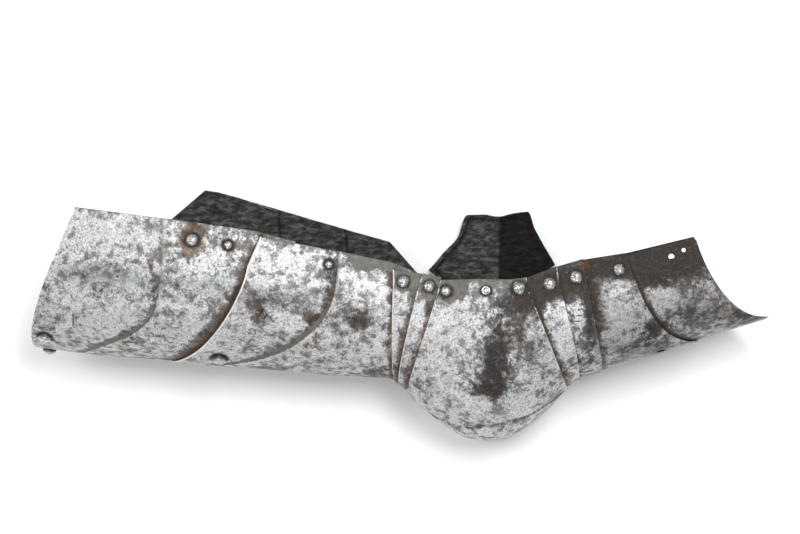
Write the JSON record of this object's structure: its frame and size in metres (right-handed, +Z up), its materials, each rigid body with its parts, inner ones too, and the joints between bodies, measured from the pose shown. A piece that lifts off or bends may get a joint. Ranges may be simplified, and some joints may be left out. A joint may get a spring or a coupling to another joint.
{
  "type": "leg armour for the thigh and knee",
  "caption": "Steel leg armour of lapped plates: a long open thigh defence, a domed knee plate with a side wing between narrow lames, and a short shin plate, lying on its side.",
  "frame": {"origin": "centre of the bounding box at floor height", "axes": "+X towards the foot, +Y towards the back of the leg, +Z up; the armour lies on its outer side, its open back towards +Y"},
  "size_m": [0.6164, 0.2346, 0.1674],
  "materials": {
    "bright_plate": "worn and pitted steel with grey mottling",
    "dark_plate": "worn steel with dark brown patina",
    "rivet": "rubbed bright"
  },
  "bodies": {
    "knee": {"knee_plate": "bright_plate", "upper_inner_pivot_inner": "rivet", "upper_inner_pivot_outer": "rivet", "lower_inner_pivot_inner": "rivet", "lower_inner_pivot_outer": "rivet", "knee_plate_rivet": "rivet"},
    "upper_lame_2": {"upper_lame_inner": "bright_plate", "upper_outer_pivot_inner": "rivet", "upper_outer_pivot_outer": "rivet"},
    "upper_lame_1": {"upper_lame_outer": "bright_plate", "cuisse_pivot_inner": "rivet", "cuisse_pivot_outer": "rivet"},
    "cuisse": {"cuisse_top": "bright_plate", "cuisse_main": "bright_plate", "cuisse_top_front_rivet_inner": "rivet", "cuisse_top_front_rivet_outer": "rivet", "cuisse_top_strap_rivet": "rivet", "cuisse_top_buckle_rivet": "rivet", "cuisse_main_strap_rivet": "rivet", "cuisse_join_rivet_front": "rivet", "cuisse_join_rivet_outer": "rivet"},
    "lower_lame_1": {"lower_lame_inner": "bright_plate", "lower_outer_pivot_inner": "rivet", "lower_outer_pivot_outer": "rivet"},
    "lower_lame_2": {"lower_lame_outer": "bright_plate", "shin_pivot_inner": "rivet", "shin_pivot_outer": "rivet"},
    "shin": {"shin_plate": "dark_plate", "shin_end_pivot_inner": "rivet", "shin_end_pivot_outer": "rivet"},
    "shin_end": {"shin_end_plate": "dark_plate"}
  },
  "joints": [
    {"name": "knee_to_upper_lame", "type": "hinge", "parent": "knee", "child": "upper_lame_2", "pos_m": [0.04282, 0.00206, 0.06977], "axis": [-0.0172, 0.1822, -0.9831], "range_deg": [-3.5, 12]},
    {"name": "upper_lame_to_lame", "type": "hinge", "parent": "upper_lame_2", "child": "upper_lame_1", "pos_m": [0.02893, 0.00619, 0.07078], "axis": [-0.0172, 0.1822, -0.9831], "range_deg": [-3, 12]},
    {"name": "upper_lame_to_cuisse", "type": "hinge", "parent": "upper_lame_1", "child": "cuisse", "pos_m": [0.00765, 0.01042, 0.07193], "axis": [-0.0172, 0.1822, -0.9831], "range_deg": [-3.5, 12]},
    {"name": "knee_to_lower_lame", "type": "hinge", "parent": "knee", "child": "lower_lame_1", "pos_m": [0.10251, 0.00412, 0.06911], "axis": [0.0172, -0.1822, 0.9831], "range_deg": [-3.5, 12]},
    {"name": "lower_lame_to_lame", "type": "hinge", "parent": "lower_lame_1", "child": "lower_lame_2", "pos_m": [0.12752, 0.00766, 0.06933], "axis": [0.0172, -0.1822, 0.9831], "range_deg": [-1.5, 12]},
    {"name": "lower_lame_to_shin", "type": "hinge", "parent": "lower_lame_2", "child": "shin", "pos_m": [0.14914, 0.01288, 0.06992], "axis": [0.0172, -0.1822, 0.9831], "range_deg": [-3.5, 12]},
    {"name": "shin_to_shin_end", "type": "hinge", "parent": "shin", "child": "shin_end", "pos_m": [0.18405, 0.01917, 0.07048], "axis": [0.0172, -0.1822, 0.9831], "range_deg": [0, 6]}
  ]
}
